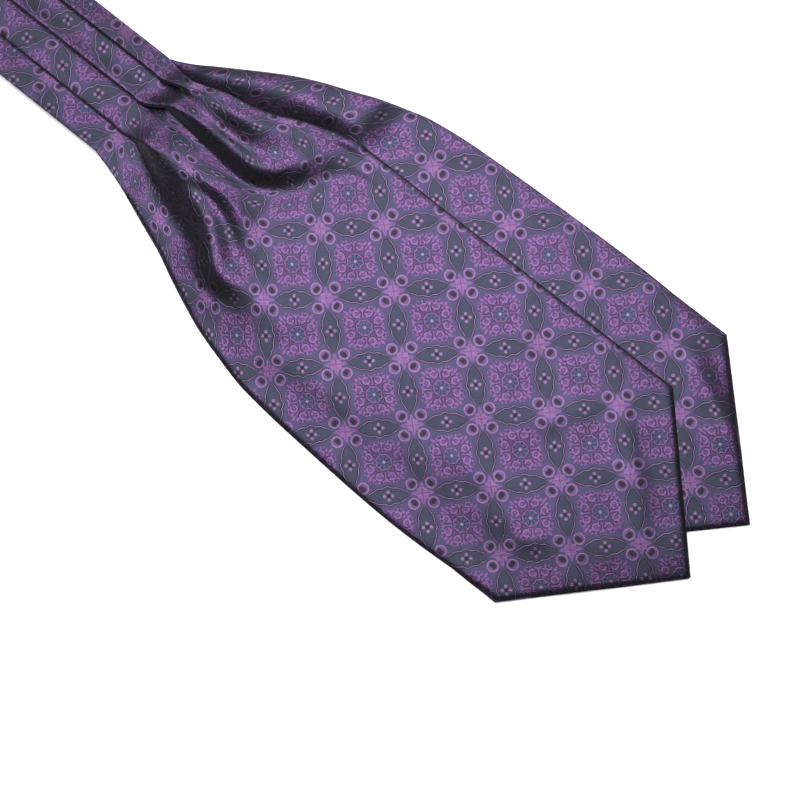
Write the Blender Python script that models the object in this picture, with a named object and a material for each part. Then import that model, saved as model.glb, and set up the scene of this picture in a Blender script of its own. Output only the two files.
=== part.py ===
# A day cravat folded in half at its neckband and laid flat: the front blade lies on the rear blade,
# and the pleated neckband runs back from the stitches to the fold at the centre back.
# Sizes are in millimetres until placed() turns them to metres.
# "along" is measured from the row of stitches towards the tips, "across" from the neckband's
# middle line, and "height" up from the surface that the cravat lies on.

import math

import bmesh
import bpy
from mathutils import Vector

for obj in list(bpy.data.objects):
    bpy.data.objects.remove(obj)

# Driving dimensions
CLOTH = 1.0              # one wall of turned silk with its thin interlining
GAP = 0.3                # between pieces at a seam, and between layers that touch
HALF_BAND = 210.0        # from the stitches to the fold at the centre back
BAND_WIDTH = 66.8        # neckband as pleated
BAND_STRIPS = (17.8, 19.3, 17.6)   # width that shows of the strips, up to each pleat's edge
PLEAT_DEPTHS = (14.7, 14.7, 11.6)  # how far each strip runs on under the next
PLEAT_AIR = 0.8          # between a pleat's layers, which its turns hold apart
PLEAT_TURN = 1.0         # how far a turn reaches to its side
PLEAT_DROP = 16.0        # beyond a pleat's root the cloth sinks back in this width
BLADE_LENGTH = 406.8     # from the stitches to the front tip
FRONT_TIP = -13.0        # across
REAR_LEAD = 7.2          # the rear tip lies this much further along
REAR_TIP = 29.1          # across
FRONT_SHOULDERS = (334.2, 336.4)   # along, at the left and right corner above the tip
REAR_SHOULDERS = (341.4, 341.4)
HIDDEN_STACK = 4.4       # the folded layers under the top run, as one solid
BEND_CORE = 0.2          # radius of the cloth's inmost layer where the neckband folds back
HIDDEN_LAYERS = 3        # layers that show at the stack's two edges
EDGE_GROOVE = 0.9        # how deep the grooves between them are
LAYER_EDGE = ((EDGE_GROOVE, 0.0), (0.0, 0.3), (0.0, 0.7))   # inset, share of the layer's height
STRIP_POINTS = (0.0, 0.35, 0.7, 1.0)   # shares of a strip's width where the rear run has points
STACK_END = 62.0         # along: where that stack has thinned to one wall
STACK_FADES = 12.0       # across: it has thinned to one wall this far inside what shows
STACK_SEEN = 20.0        # along: from here that part is one wall
PLEATS_RISE = 7.0        # along: from here their layers part
FOLDS_FROM = 12.0        # along: the free folds keep this place's section up to here
PLEATS_OPEN = 25.0       # along: where the pleats have opened to free folds
SOFTENED = 5.0           # the folds are rounded off over this length
DRAPE = 30.0             # width in which the front blade comes down beside the rear one
DRAPE_CLEAR = 1.0        # it stays level for this far beyond the rear blade's edge
REAR_FACE = 2.5          # least width of the rear blade's raised fold, up to its crest
REAR_BACK = 2.0          # and from the crest to the edge

LAYER = CLOTH + PLEAT_AIR
TURN = LAYER / 2.0
HALF_WIDTH = BAND_WIDTH / 2.0
TOP_RUN = HIDDEN_STACK + GAP + 2 * BEND_CORE
REAR_LENGTH = BLADE_LENGTH + REAR_LEAD

# Outlines: along, across
FRONT_LEFT = ((0, -33.4), (15, -38.8), (25, -42.7), (35, -46.3), (50, -52.0), (65, -58.0),
              (80, -65.3), (95, -71.8), (110, -77.2), (125, -81.0), (155, -86.7), (200, -89.3),
              (260, -91.1), (334.2, -87.3))
FRONT_RIGHT = ((0, 33.4), (12, 31.6), (21, 31.0), (30, 33.0), (43, 37.2), (52, 39.0), (63, 41.4),
               (73, 45.2), (85, 51.0), (95, 55.0), (104, 58.0), (120, 61.8), (200, 61.6), (336.4, 61.4))
REAR_LEFT = ((0, -33.4), (20, -35.5), (60, -41.5), (120, -45.0), (341.4, -43.5))
REAR_RIGHT = ((0, 33.4), (5, 38.8), (15, 44.8), (25, 51.2), (35, 57.3), (50, 65.4), (65, 73.0),
              (80, 79.0), (95, 84.9), (110, 90.6), (125, 95.7), (140, 98.8), (170, 100.4),
              (225, 102.1), (275, 102.9), (341.4, 100.7))

# Folds of the front blade where the pleats open: along, across, height above what it lies on
FOOT = ((12, -19.0, 0.3), (25, -20.0, 0.3), (38, -28.0, 0.3), (48, -34.5, 0.3), (64, -38.0, 0.3),
        (78, -44.3, 0.3), (87, -51.0, 0.3), (98, -54.6, 0.3), (112, -57.0, 0.2),
        (127, -58.7, 0.1), (150, -60.0, 0.0))
STEP = ((12, -15.0, 4.0), (25, -16.5, 5.2), (38, -19.5, 6.0), (48, -19.5, 7.2), (57, -18.5, 8.6),
        (65, -18.0, 9.0), (73, -20.0, 8.8), (81, -24.0, 8.2), (87, -28.4, 7.8), (92, -34.0, 7.3),
        (99, -41.5, 6.5), (107, -42.5, 5.6), (117, -39.5, 3.9), (125, -39.0, 2.0),
        (150, -42.0, 0.0))
DIP = ((12, -13.8, 5.6), (25, -14.8, 7.4), (38, -15.5, 8.8), (48, -15.5, 10.0), (57, -15.0, 9.8),
       (63, -14.8, 8.4), (68, -14.6, 7.0), (81, -17.8, 4.6), (92, -24.5, 3.0), (100, -31.0, 2.2),
       (114, -32.5, 1.5), (130, -33.5, 0.6), (150, -36.0, 0.0))
FIRST_CREST = ((12, -12.0, 7.6), (25, -12.0, 9.6), (41, -10.0, 10.4), (57, -9.0, 11.0),
               (65, -8.8, 10.8), (74, -8.0, 10.2), (83, -9.5, 8.6), (92, -12.5, 6.6),
               (105, -18.0, 3.6), (115, -22.0, 2.2), (130, -26.0, 0.9), (150, -30.0, 0.0))
BACK = ((12, -4.6, 6.6), (25, -4.4, 8.0), (43, -3.6, 8.8), (57, -3.0, 8.8), (67, -2.5, 8.4),
        (75, -2.0, 7.6), (85, -2.0, 5.9), (95, -3.0, 3.9), (105, -2.0, 2.0), (120, 5.0, 0.7),
        (150, 10.0, 0.0))
VALLEY = ((12, 9.5, 2.5), (25, 9.0, 3.0), (40, 7.5, 3.8), (57, 5.2, 4.8), (67, 4.2, 4.7),
          (75, 3.8, 3.9), (82, 4.6, 2.8), (90, 7.4, 1.5), (98, 13.0, 0.9), (107, 22.0, 0.5),
          (113, 30.0, 0.3), (117, 36.5, 0.3), (121, 41.5, 0.3), (130, 46.0, 0.2),
          (150, 49.0, 0.0))
SECOND_CREST = ((12, 12.4, 9.6), (25, 13.4, 10.8), (35, 15.2, 11.4), (43, 16.0, 11.5),
                (57, 16.0, 11.3), (67, 15.6, 11.0), (79, 15.4, 10.0), (86, 17.5, 9.0),
                (92, 22.0, 7.8), (96, 28.0, 6.8), (101, 34.0, 6.0), (105, 41.0, 5.0),
                (111, 46.0, 3.5), (120, 50.5, 1.8), (130, 51.0, 0.9), (150, 52.0, 0.0))
POCKET = ((12, 24.0, 6.0), (25, 20.5, 10.0), (38, 20.5, 10.2), (48, 20.6, 9.2), (57, 20.6, 8.6),
          (66, 20.6, 8.2), (75, 21.8, 8.1), (84, 26.0, 7.9), (92, 31.5, 7.0), (98, 37.0, 6.1),
          (105, 45.0, 4.9), (111, 50.0, 3.5), (120, 53.5, 1.8), (130, 55.0, 0.8),
          (150, 56.0, 0.0))
THIRD_CREST = ((12, 26.0, 13.8), (25, 27.0, 12.4), (30, 28.0, 12.2), (37, 29.5, 12.4),
               (47, 31.0, 12.8), (55, 32.0, 13.0), (62, 33.5, 12.8), (72, 36.5, 12.0),
               (82, 41.5, 10.0), (90, 46.5, 8.2), (98, 51.5, 6.6), (111, 57.0, 3.8),
               (120, 58.5, 2.0), (130, 59.0, 1.0), (150, 60.0, 0.0))
FRONT_RIM = ((12, 11.0), (25, 9.6), (45, 9.0), (62, 8.8), (75, 7.8), (88, 5.4), (100, 2.8), (112, 1.0),
             (125, 0.2), (150, 0.0))   # height of the blade's right edge
FRONT_FOLDS = (FOOT, STEP, DIP, FIRST_CREST, BACK, VALLEY, SECOND_CREST, POCKET, THIRD_CREST)
PLEAT_LINES = (FOOT, FIRST_CREST, VALLEY, SECOND_CREST, POCKET, THIRD_CREST)

# The rear blade stands up in one broad fold beside the front blade: along, across, height
REAR_RISE = ((5, 30.0, 0.0), (20, 27.0, 0.0), (30, 28.0, 0.0), (43, 32.0, 0.0), (52, 34.5, 0.0),
             (63, 37.5, 0.0), (73, 41.5, 0.0), (85, 47.0, 0.0), (100, 53.0, 0.0), (150, 56.0, 0.0))
REAR_CREST = ((5, 35.5, 1.0), (15, 37.5, 4.0), (25, 40.0, 6.2), (40, 48.0, 7.4), (60, 58.0, 7.8),
              (80, 63.5, 7.8), (100, 68.5, 7.4), (107, 71.0, 7.0), (112, 72.5, 6.0),
              (119, 74.0, 3.2), (126, 76.0, 1.0), (133, 78.0, 0.2), (150, 80.0, 0.0))
REAR_RIM = ((5, 38.8, 1.0), (15, 44.8, 3.4), (25, 51.2, 5.0), (60, 70.7, 6.2), (100, 86.9, 6.2),
            (107, 89.5, 6.0), (112, 91.4, 5.1), (119, 93.8, 2.6), (126, 95.9, 0.7),
            (133, 97.4, 0.0), (150, 99.4, 0.0))

# Mesh resolution: intervals between the pleat lines, and rows along the blades
SPANS = (9, 10, 10, 8, 8, 6, 5)
QUARTER_TURN = 2
FRONT_ROWS = (0.15, 1.0, 4, 7, 10, 13.5, 17, 21, 25, 30, 35, 40, 45, 50, 55, 60, 65, 70, 75, 80,
              84, 88, 92, 96, 100, 104, 108, 112, 116, 120, 125, 130, 138, 150, 175, 205, 240, 275, 305)
REAR_ROWS = (0.15, 5, 10, 15, 21, 28, 36, 45, 54, 63, 73, 83, 93, 102, 108, 113, 118, 123, 129,
             138, 150, 180, 220, 265, 305)
TIP_ROWS = 4
REAR_COLUMNS = 26
FOLD_STEPS = 5
SPREAD_FROM = 150.0      # along: from here the columns leave the pleat lines
SPREAD_OVER = 130.0
SHARP_FROM = math.radians(50)

PURPLE = (0.150, 0.085, 0.205)
DARK_PURPLE = (0.120, 0.070, 0.165)


def smooth_through(pairs):
    # A curve through the pairs that never swings past them
    xs = [p[0] for p in pairs]
    ys = [p[1] for p in pairs]
    steps = [b - a for a, b in zip(xs, xs[1:])]
    rises = [(b - a) / d for a, b, d in zip(ys, ys[1:], steps)]
    slopes = [rises[0]]
    for before, after in zip(rises, rises[1:]):
        slopes.append(2 * before * after / (before + after) if before * after > 0 else 0.0)
    slopes.append(rises[-1])

    def value(x):
        if x <= xs[0]:
            return ys[0]
        if x >= xs[-1]:
            return ys[-1]
        i = max(k for k in range(len(steps)) if xs[k] <= x)
        d = steps[i]
        t = (x - xs[i]) / d
        return (ys[i] * (1 + 2 * t) * (1 - t) ** 2 + ys[i + 1] * t * t * (3 - 2 * t)
                + d * slopes[i] * t * (1 - t) ** 2 - d * slopes[i + 1] * t * t * (1 - t))
    return value


def ease(t):
    t = min(max(t, 0.0), 1.0)
    return t * t * (3 - 2 * t)


def mix(a, b, t):
    return a + (b - a) * t


def line_of(rows):
    return smooth_through([(r[0], r[1]) for r in rows]), smooth_through([(r[0], r[2]) for r in rows])


front_left = smooth_through(FRONT_LEFT)
front_right = smooth_through(FRONT_RIGHT)
rear_left = smooth_through(REAR_LEFT)
rear_right = smooth_through(REAR_RIGHT)
front_folds = [line_of(rows) for rows in FRONT_FOLDS]
pleat_lines = [line_of(rows)[0] for rows in PLEAT_LINES]
front_rim = smooth_through(FRONT_RIM)
rear_rise = line_of(REAR_RISE)[0]
rear_crest, rear_crest_height = line_of(REAR_CREST)
rear_rim_height = line_of(REAR_RIM)[1]


def tip_edge(across, left, right, shoulders, tip, tip_along):
    # How far along the pointed end reaches at this place across
    side = left if across < tip else right
    shoulder = shoulders[0] if across < tip else shoulders[1]
    return mix(tip_along, shoulder, min(1.0, (across - tip) / (side - tip)))


def pleated_strip(number, across):
    # Height of the middle of a strip's cloth, stacked on the pleats before it
    height = CLOTH / 2.0
    for k in range(number):
        root = strip_edge(k + 1) + PLEAT_DEPTHS[k]
        height += 2 * LAYER
        if across > root:
            height = mix(height, CLOTH / 2.0, ease((across - root) / PLEAT_DROP))
    return height


def strip_edge(number):
    return -HALF_WIDTH + sum(BAND_STRIPS[:number])


def pleated_section():
    # The neckband's cloth from edge to edge as one line: across, height
    points = []
    start = -HALF_WIDTH
    for k, span in enumerate(SPANS):
        strip = k // 2
        going_back = k % 2 == 1
        last = k == len(SPANS) - 1
        if last:
            stop = HALF_WIDTH
        elif going_back:
            stop = strip_edge(strip + 1)
        else:
            stop = strip_edge(strip + 1) + PLEAT_DEPTHS[strip]
        lift = LAYER if going_back else 0.0
        sign = -1 if going_back else 1
        first_turn = QUARTER_TURN if k else 0
        last_turn = 0 if last else QUARTER_TURN
        a = start + sign * PLEAT_TURN if k else start
        b = stop if last else stop - sign * PLEAT_TURN
        for i in range(1 if k else 0, span + 1):
            if i < first_turn:
                angle = math.pi / 2 * (1 - i / first_turn)
                y = a - sign * PLEAT_TURN * math.sin(angle)
                z = pleated_strip(strip, a) + lift - TURN * (1 - math.cos(angle))
            elif i > span - last_turn:
                angle = math.pi / 2 * (i - span + last_turn) / last_turn
                y = b + sign * PLEAT_TURN * math.sin(angle)
                z = pleated_strip(strip, b) + lift + TURN * (1 - math.cos(angle))
            else:
                y = mix(a, b, (i - first_turn) / (span - first_turn - last_turn))
                z = pleated_strip(strip, y) + lift
            points.append((y, z))
        start = stop
    return points


def pleated_top(across):
    strip = max(k for k in range(len(BAND_STRIPS) + 1) if strip_edge(k) <= across + GAP)
    return pleated_strip(strip, across) + CLOTH / 2.0


def rear_lift(along, across):
    # The fold that stands beside the front blade
    rise = rear_rise(along)
    crest = max(rear_crest(along), rise + REAR_FACE)
    rim = max(rear_right(along), crest + REAR_BACK)
    profile = smooth_through(((rise, 0.0), (crest, rear_crest_height(along)),
                              (rim, rear_rim_height(along))))
    return profile(across)


def rear_thickness(along, across):
    # One wall where it shows, thicker where the folded layers lie under the pleats
    stack = 1 - ease(along / STACK_END)
    seen = ease((across - rear_rise(along)) / STACK_FADES + 1) * ease(along / STACK_SEEN)
    return mix(CLOTH, HIDDEN_STACK, stack * (1 - seen))


def rear_top(along, across):
    return rear_lift(along, across) + rear_thickness(along, across)


def support(along, across):
    # What the front blade's cloth lies on: the rear blade, or the surface beside it
    left = rear_left(along)
    right = rear_right(along)
    end = tip_edge(across, left, right, REAR_SHOULDERS, REAR_TIP, REAR_LENGTH)
    beside = max(0.0, left - across)
    beyond = max(0.0, (along - end) / math.sqrt(2.0))
    level = rear_top(min(along, end), min(max(across, left), right)) + GAP
    return level * (1 - ease((max(beside, beyond) - DRAPE_CLEAR) / DRAPE))


def fold_line(along, across):
    # The opened pleats, crossed at one place along
    knots = [(front_left(along), 0.0)]
    knots += [(place(along), height(along)) for place, height in front_folds]
    knots.append((front_right(along), front_rim(along)))
    return smooth_through(knots)(across)


def front_fold(along, across):
    # How high the opened pleats stand above what the front blade lies on
    before = fold_line(max(along - SOFTENED, FOLDS_FROM), across)
    after = fold_line(along + SOFTENED, across)
    return (before + 2 * fold_line(along, across) + after) / 4


def front_columns(along):
    # Where the lengthways mesh lines run: on the pleat lines first, evenly spread at the tip
    anchors = [front_left(along)] + [line(along) for line in pleat_lines] + [front_right(along)]
    followed = []
    for k, span in enumerate(SPANS):
        for i in range(1 if k else 0, span + 1):
            followed.append(mix(anchors[k], anchors[k + 1], i / span))
    spread = ease((along - SPREAD_FROM) / SPREAD_OVER)
    return [mix(y, mix(anchors[0], anchors[-1], i / sum(SPANS)), spread)
            for i, y in enumerate(followed)]


def front_row(along):
    # From the stacked pleats at the stitches to the free folds
    opened = ease((along - FRONT_ROWS[1]) / (PLEATS_OPEN - FRONT_ROWS[1]))
    raised = ease((along - PLEATS_RISE) / (PLEATS_OPEN - PLEATS_RISE))
    at = max(along, FOLDS_FROM)
    free = front_columns(at)
    pleated = pleated_section()
    across = [mix(y0, y1, opened) for (y0, _), y1 in zip(pleated, free)]
    first = across[0]
    width = across[-1] - first
    row = []
    for (_, z0), y1, y in zip(pleated, free, across):
        share = (y - first) / width
        y += mix(front_left(along) - first, front_right(along) - first - width, share)
        z1 = support(along, y) + CLOTH / 2.0 + front_fold(at, y1)
        row.append((along, y, mix(z0 + TOP_RUN, z1, raised)))
    return row


def front_rows():
    rows = [front_row(along) for along in FRONT_ROWS]
    last = rows[-1]
    for k in range(1, TIP_ROWS + 1):
        row = []
        for along, across, _ in last:
            end = tip_edge(across, front_left(along), front_right(along), FRONT_SHOULDERS,
                           FRONT_TIP, BLADE_LENGTH)
            at = mix(along, end, k / TIP_ROWS)
            row.append((at, across, support(at, across) + CLOTH / 2.0))
        rows.append(row)
    return rows


def rear_places():
    # Rows of places on the rear blade, with half of the columns on the part that shows
    rows = []
    half = REAR_COLUMNS // 2
    for along in REAR_ROWS:
        left = rear_left(along)
        right = rear_right(along)
        rise = rear_rise(along)
        spread = ease((along - SPREAD_FROM) / SPREAD_OVER)
        row = []
        for i in range(REAR_COLUMNS + 1):
            near = mix(left, rise, i / half) if i <= half else mix(rise, right, (i - half) / half)
            row.append((along, mix(near, mix(left, right, i / REAR_COLUMNS), spread)))
        rows.append(row)
    last = rows[-1]
    for k in range(1, TIP_ROWS + 1):
        row = []
        for along, across in last:
            end = tip_edge(across, rear_left(along), rear_right(along), REAR_SHOULDERS, REAR_TIP,
                           REAR_LENGTH)
            row.append((mix(along, end, k / TIP_ROWS), across))
        rows.append(row)
    return rows


def neckband_front_rows():
    # The pleated run on top, and on round to the centre back
    section = pleated_section()
    fold = -HALF_BAND + BEND_CORE + pleat_reach()
    rows = [[(-GAP / 2.0, y, TOP_RUN + z) for y, z in section],
            [(fold, y, TOP_RUN + z) for y, z in section]]
    for k in range(1, FOLD_STEPS + 1):
        angle = math.pi / 2 * k / FOLD_STEPS
        axis = TOP_RUN - BEND_CORE
        rows.append([(fold - (z + BEND_CORE) * math.sin(angle), y,
                      axis + (z + BEND_CORE) * math.cos(angle)) for y, z in section])
    return rows


def neckband_rear_rings():
    # The hidden run: its folded layers are one solid with grooves between them at both edges
    fold = -HALF_BAND + BEND_CORE + pleat_reach()
    axis = HIDDEN_STACK + BEND_CORE
    rings = []
    for k in range(FOLD_STEPS + 1):
        angle = math.pi / 2 * (1 + k / FOLD_STEPS)
        ring = []
        for y, depth in hidden_section(ease(k / FOLD_STEPS)):
            radius = depth + BEND_CORE
            ring.append((fold - radius * math.sin(angle), y, axis + radius * math.cos(angle)))
        rings.append(ring)
    rings.append([(-GAP / 2.0, y, z) for _, y, z in rings[-1]])
    return rings


def hidden_section(flattened):
    # Across and depth, from the inner side out; the pleats' steps flatten out underneath
    def depth_at(across):
        return mix(pleated_top(across), HIDDEN_STACK, flattened)

    def edge(side):
        points = []
        for k in range(HIDDEN_LAYERS):
            for inset, share in LAYER_EDGE:
                across = side * (HALF_WIDTH - inset)
                points.append((across, depth_at(side * HALF_WIDTH) * (k + share) / HIDDEN_LAYERS))
        return points

    outer = []
    for k in range(len(BAND_STRIPS) + 1):
        left = strip_edge(k)
        right = strip_edge(k + 1) if k < len(BAND_STRIPS) else HALF_WIDTH
        for share in STRIP_POINTS:
            y = mix(left + GAP, right - GAP, share)
            y = min(max(y, EDGE_GROOVE - HALF_WIDTH), HALF_WIDTH - EDGE_GROOVE)
            outer.append((y, depth_at(y)))
    return edge(1) + outer[::-1] + edge(-1)[::-1]


def pleat_reach():
    return max(pleated_top(strip_edge(k)) for k in range(len(BAND_STRIPS) + 1))


def box_middle():
    # The part's own frame has its origin under the middle of the whole cravat
    left = min(front_left(along) for along in FRONT_ROWS)
    right = max(rear_right(along) for along in REAR_ROWS)
    return (REAR_LENGTH - HALF_BAND) / 2.0, (left + right) / 2.0


MIDDLE = box_middle()


def placed(point):
    along, across, height = point
    return Vector((along - MIDDLE[0], across - MIDDLE[1], height)) * 0.001


def silk(name, colour):
    material = bpy.data.materials.new(name)
    material.use_nodes = True
    shader = material.node_tree.nodes["Principled BSDF"]
    shader.inputs["Base Color"].default_value = (*colour, 1.0)
    shader.inputs["Roughness"].default_value = 0.42
    shader.inputs["Metallic"].default_value = 0.0
    shader.inputs["Sheen Weight"].default_value = 0.35
    return material


def finished(name, bm, colour):
    mesh = bpy.data.meshes.new(name)
    bm.to_mesh(mesh)
    bm.free()
    mesh.materials.append(silk(name + "_silk", colour))
    mesh.shade_smooth()
    mesh.set_sharp_from_angle(angle=SHARP_FROM)
    obj = bpy.data.objects.new(name, mesh)
    bpy.context.scene.collection.objects.link(obj)
    return obj


def sheet(rows):
    # A flat grid whose points are moved to the rows given, each keeping its row and column
    bm = bmesh.new()
    row_of = bm.verts.layers.int.new("row")
    column_of = bm.verts.layers.int.new("column")
    last_row = len(rows) - 1
    last_column = len(rows[0]) - 1
    made = bmesh.ops.create_grid(bm, x_segments=last_row, y_segments=last_column, size=1.0)
    for vert in made["verts"]:
        vert[row_of] = round((vert.co.x + 1) / 2 * last_row)
        vert[column_of] = round((vert.co.y + 1) / 2 * last_column)
        vert.co = placed(rows[vert[row_of]][vert[column_of]])
    return bm


def wall(name, rows, colour):
    # Cloth of even thickness, half on each side of the rows
    obj = finished(name, sheet(rows), colour)
    solidify = obj.modifiers.new("cloth", 'SOLIDIFY')
    solidify.thickness = CLOTH * 0.001
    solidify.offset = 0.0
    return obj


def slab(name, rows, undersides, colour):
    # A sheet carried down to its own underside
    bm = sheet(rows)
    row_of = bm.verts.layers.int["row"]
    column_of = bm.verts.layers.int["column"]
    lower = bmesh.ops.extrude_face_region(bm, geom=bm.faces[:], use_keep_orig=True)
    for vert in lower["geom"]:
        if isinstance(vert, bmesh.types.BMVert):
            vert.co = placed(undersides[vert[row_of]][vert[column_of]])
    bmesh.ops.recalc_face_normals(bm, faces=bm.faces[:])
    return finished(name, bm, colour)


def lofted(name, rings, colour):
    # A solid through closed rings of points
    bm = sheet([ring + ring[:1] for ring in rings])
    bmesh.ops.remove_doubles(bm, verts=bm.verts[:], dist=0.000001)
    bmesh.ops.holes_fill(bm, edges=bm.edges[:], sides=len(rings[0]))
    bmesh.ops.recalc_face_normals(bm, faces=bm.faces[:])
    return finished(name, bm, colour)


wall("front_blade", front_rows(), PURPLE)

places = rear_places()
slab("rear_blade",
     [[(a, y, rear_top(a, y)) for a, y in row] for row in places],
     [[(a, y, rear_lift(a, y)) for a, y in row] for row in places],
     DARK_PURPLE)

wall("neckband_front_half", neckband_front_rows(), PURPLE)
lofted("neckband_rear_half", neckband_rear_rings(), DARK_PURPLE)
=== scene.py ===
# A pleated day cravat in figured silk, folded in half and laid flat on a pale table.
# Cloth is laid out in millimetres: "along" from the row of stitches towards the tips, "across" from
# the neckband's middle line, "height" up from the table. placed() turns that to the frame's metres.
import math

import bmesh
import bpy
from mathutils import Matrix, Vector, noise


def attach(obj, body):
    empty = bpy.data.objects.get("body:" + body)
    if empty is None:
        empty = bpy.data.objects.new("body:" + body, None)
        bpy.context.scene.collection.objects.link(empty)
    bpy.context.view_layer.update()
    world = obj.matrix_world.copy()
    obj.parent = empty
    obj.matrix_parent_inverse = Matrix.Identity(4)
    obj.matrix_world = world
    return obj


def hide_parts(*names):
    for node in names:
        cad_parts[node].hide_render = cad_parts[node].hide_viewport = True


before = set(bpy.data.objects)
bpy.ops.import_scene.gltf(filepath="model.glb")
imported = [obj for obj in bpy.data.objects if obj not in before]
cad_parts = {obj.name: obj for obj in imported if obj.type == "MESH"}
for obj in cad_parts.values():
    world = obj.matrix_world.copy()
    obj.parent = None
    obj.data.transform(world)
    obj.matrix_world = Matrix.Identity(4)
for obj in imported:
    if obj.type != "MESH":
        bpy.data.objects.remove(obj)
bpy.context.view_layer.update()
print("frame loaded")

# Helpers for objects and their materials


def addObject(name, data):
    thing = bpy.data.objects.new(name, data)
    bpy.context.scene.collection.objects.link(thing)
    return thing


def meshObject(name, bm, material):
    mesh = bpy.data.meshes.new(name)
    bm.to_mesh(mesh)
    bm.free()
    mesh.materials.append(material)
    return addObject(name, mesh)


def setSockets(node, sockets):
    # Each input gets a value, or a link where a wire or another node's socket is given
    for name, given in sockets.items():
        given = getattr(given, "socket", given)
        if isinstance(given, bpy.types.NodeSocket):
            node.id_data.links.new(given, node.inputs[name])
        else:
            node.inputs[name].default_value = given


def newNode(tree, kind, sockets=None, **settings):
    node = tree.nodes.new("ShaderNode" + kind)
    for name, setting in settings.items():
        setattr(node, name, setting)
    setSockets(node, sockets or {})
    return node


def newMaterial(name, sockets):
    material = bpy.data.materials.new(name)
    material.use_nodes = True
    shader = material.node_tree.nodes["Principled BSDF"]
    setSockets(shader, sockets)
    return material, shader


# Camera, light and table

view = {
    "target": (0.1225, -0.0416, 0.0),
    "distance": 0.881,
    "tilt": 8.0,  # degrees off straight down, towards the tips
    "roll": 38.7,  # the cravat's length lies at this slant in the picture
    "lens": 72.0,
    "sensor": 36.0,
}


def makeCamera():
    tilt = math.radians(view["tilt"])
    roll = math.radians(view["roll"])
    turn = Matrix.Rotation(tilt, 3, 'Y')
    right = turn @ Vector((math.cos(roll), math.sin(roll), 0))
    down = turn @ Vector((math.sin(roll), -math.cos(roll), 0))
    back = turn @ Vector((0, 0, 1))
    camera = addObject("camera", bpy.data.cameras.new("camera"))
    camera.data.lens = view["lens"]
    camera.data.sensor_width = view["sensor"]
    camera.matrix_world = (Matrix.Translation(Vector(view["target"]) + back * view["distance"])
                           @ Matrix((right, -down, back)).transposed().to_4x4())
    bpy.context.scene.camera = camera


light = {
    "softbox": {"size": 0.85, "power": 14.2, "at": (-0.03, 0.06, 1.05), "aim": (0.15, -0.04, 0.0)},
    "sideFill": {"size": 1.0, "power": 14.0, "at": (-0.2, 0.95, 0.8), "aim": (0.05, 0.0, 0.0)},
    "headFill": {"size": 0.7, "power": 5.5, "at": (-0.72, 0.12, 0.95), "aim": (-0.1, 0.0, 0.0)},
    "sky": (0.8, 0.84, 0.8),
    "skyStrength": 0.045,
}


def makeLight(name):
    made = light[name]
    lamp = bpy.data.lights.new(name, 'AREA')
    lamp.shape = 'DISK'
    lamp.size = made["size"]
    lamp.energy = made["power"]
    holder = addObject(name, lamp)
    holder.location = made["at"]
    towards = Vector(made["aim"]) - holder.location
    holder.rotation_euler = towards.to_track_quat('-Z', 'Y').to_euler()


def makeSky():
    world = bpy.data.worlds.new("sky")
    world.use_nodes = True
    setSockets(world.node_tree.nodes["Background"],
               {"Color": (*light["sky"], 1.0), "Strength": light["skyStrength"]})
    bpy.context.scene.world = world
    bpy.context.scene.view_settings.view_transform = 'Standard'


table = {"half": 3.0, "colour": (0.93, 0.93, 0.93), "roughness": 0.9}


def makeTable():
    bm = bmesh.new()
    bmesh.ops.create_grid(bm, x_segments=1, y_segments=1, size=table["half"])
    material, _ = newMaterial("table", {"Base Color": (*table["colour"], 1.0),
                                        "Roughness": table["roughness"]})
    meshObject("table", bm, material)


makeCamera()
for lamp in ("softbox", "sideFill", "headFill"):
    makeLight(lamp)
makeSky()
makeTable()
print("camera, light and table made")

# Curves through tables


def smoothThrough(pairs):
    # A curve through the pairs that never swings past them
    xs, ys = zip(*pairs)
    steps = [b - a for a, b in zip(xs, xs[1:])]
    rises = [(b - a) / d for a, b, d in zip(ys, ys[1:], steps)]
    slopes = [rises[0]]
    for before, after in zip(rises, rises[1:]):
        slopes.append(2 * before * after / (before + after) if before * after > 0 else 0.0)
    slopes.append(rises[-1])

    def value(x):
        if x <= xs[0]:
            return ys[0]
        if x >= xs[-1]:
            return ys[-1]
        i = max(k for k in range(len(steps)) if xs[k] <= x)
        d = steps[i]
        t = (x - xs[i]) / d
        return (ys[i] * (1 + 2 * t) * (1 - t) ** 2 + ys[i + 1] * t * t * (3 - 2 * t)
                + d * slopes[i] * t * (1 - t) ** 2 - d * slopes[i + 1] * t * t * (1 - t))
    return value


def ease(t):
    t = min(max(t, 0.0), 1.0)
    return t * t * (3 - 2 * t)


def begun(place, span):
    # 0 at the span's start, 1 from its length on
    return ease((place - span[0]) / span[1])


def mix(a, b, t):
    return a + (b - a) * t


def lineOf(rows):
    return [smoothThrough([(row[0], row[k]) for row in rows]) for k in (1, 2)]


# Sizes that all the pieces share

cloth = {
    "wall": 1.0,  # turned silk with its thin interlining
    "rounding": 0.38,  # of the wall's free edges
    "shell": 0.4,  # wall of the run underneath, which is modelled hollow
    "gap": 0.3,  # between pieces at a seam
    "bladeLength": 406.8,  # stitches to the front tip
    "rearLead": 7.2,  # the rear tip lies this much further along
    "foldReach": 210.0,  # stitches to the fold at the centre back
    "rollWidth": 3.2,  # the turned edges round down over this width
    "rollHeight": 1.2,
    "edgeShadeWidth": 2.8,  # painted shade along the front blade's right edge reaches this far in
    "creaseFade": 0.4,  # share of a crease's length over which its ends fade
    "creaseStart": 0.3,  # how far into that fade its ends lie
    "flatFrom": 155.0,  # beyond this the blades lie flat
    "tipCrowding": 1.4,  # rows crowd towards the point
    # What begins gently has a start and a length
    "drape": (1.0, 30.0),  # how the front blade comes down to the table outside the rear one
    "even": (150.0, 130.0),  # how the columns leave the folds' lines
}

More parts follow.
